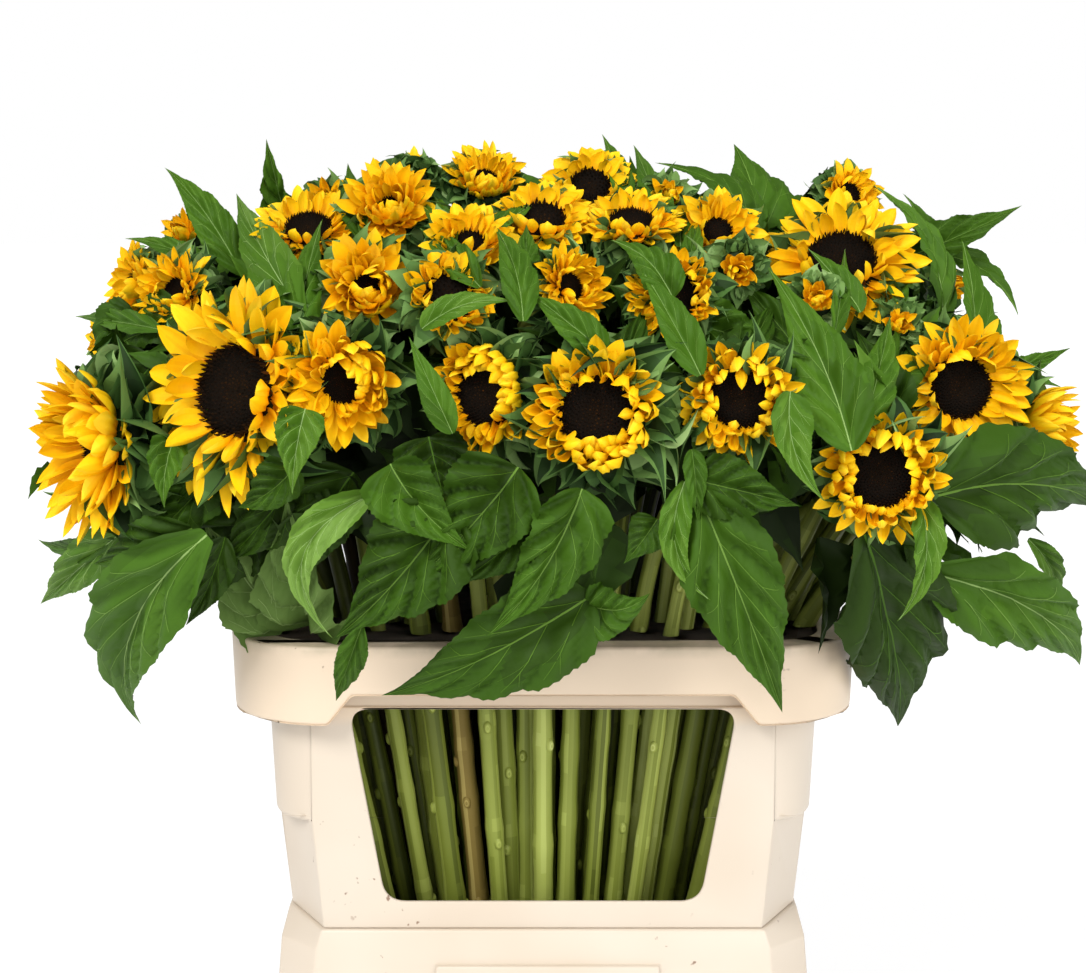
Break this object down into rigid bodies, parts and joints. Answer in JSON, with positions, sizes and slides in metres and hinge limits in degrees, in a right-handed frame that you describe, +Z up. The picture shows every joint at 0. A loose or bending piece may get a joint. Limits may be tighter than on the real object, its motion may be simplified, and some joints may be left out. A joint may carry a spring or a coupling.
{
  "type": "bunch of cut sunflowers in a flower container",
  "caption": "A full bunch of cut sunflowers with leafy stems, standing in a tapered plastic bucket with a windowed collar.",
  "frame": {"origin": "middle of the bucket's flat underside, on the surface that the bucket stands on", "axes": "+X to the right and +Y to the back as seen facing the collar's window, +Z up"},
  "size_m": [0.6814, 0.4826, 0.7032],
  "materials": {
    "container_plastic": "cream moulded plastic, lightly scuffed",
    "stem": "ridged green stems with leaf scars",
    "bloom": "golden petals round a dark disc",
    "foliage": "matt green leaves with pale veins"
  },
  "bodies": {
    "root": {"bloom_back_1": "bloom", "bloom_back_2": "bloom", "bloom_back_3": "bloom", "bloom_back_4": "bloom", "bloom_back_5": "bloom", "bloom_back_6": "bloom", "bloom_back_7": "bloom", "bloom_front_left": "bloom", "bloom_front_left_inner": "bloom", "bloom_front_middle": "bloom", "bloom_front_middle_left": "bloom", "bloom_front_middle_right": "bloom", "bloom_front_right": "bloom", "bloom_front_right_outer": "bloom", "bloom_left_end": "bloom", "bloom_right_end": "bloom", "bloom_top": "bloom", "bloom_upper_left": "bloom", "bloom_upper_left_outer": "bloom", "bloom_upper_middle": "bloom", "bloom_upper_middle_left": "bloom", "bloom_upper_middle_right": "bloom", "bloom_upper_right": "bloom", "bucket": "container_plastic", "collar": "container_plastic", "foliage_back_left": "foliage", "foliage_back_middle": "foliage", "foliage_back_right": "foliage", "foliage_front_left": "foliage", "foliage_front_middle": "foliage", "foliage_front_right": "foliage", "foliage_left": "foliage", "foliage_right": "foliage", "foliage_top_left": "foliage", "foliage_top_middle_left": "foliage", "foliage_top_middle_right": "foliage", "foliage_top_right": "foliage", "stem_back_1": "stem", "stem_back_2": "stem", "stem_back_3": "stem", "stem_back_4": "stem", "stem_back_5": "stem", "stem_back_6": "stem", "stem_back_7": "stem", "stem_front_left": "stem", "stem_front_left_inner": "stem", "stem_front_middle": "stem", "stem_front_middle_left": "stem", "stem_front_middle_right": "stem", "stem_front_right": "stem", "stem_front_right_outer": "stem", "stem_left_end": "stem", "stem_right_end": "stem", "stem_top": "stem", "stem_upper_left": "stem", "stem_upper_left_outer": "stem", "stem_upper_middle": "stem", "stem_upper_middle_left": "stem", "stem_upper_middle_right": "stem", "stem_upper_right": "stem"}
  },
  "joints": []
}
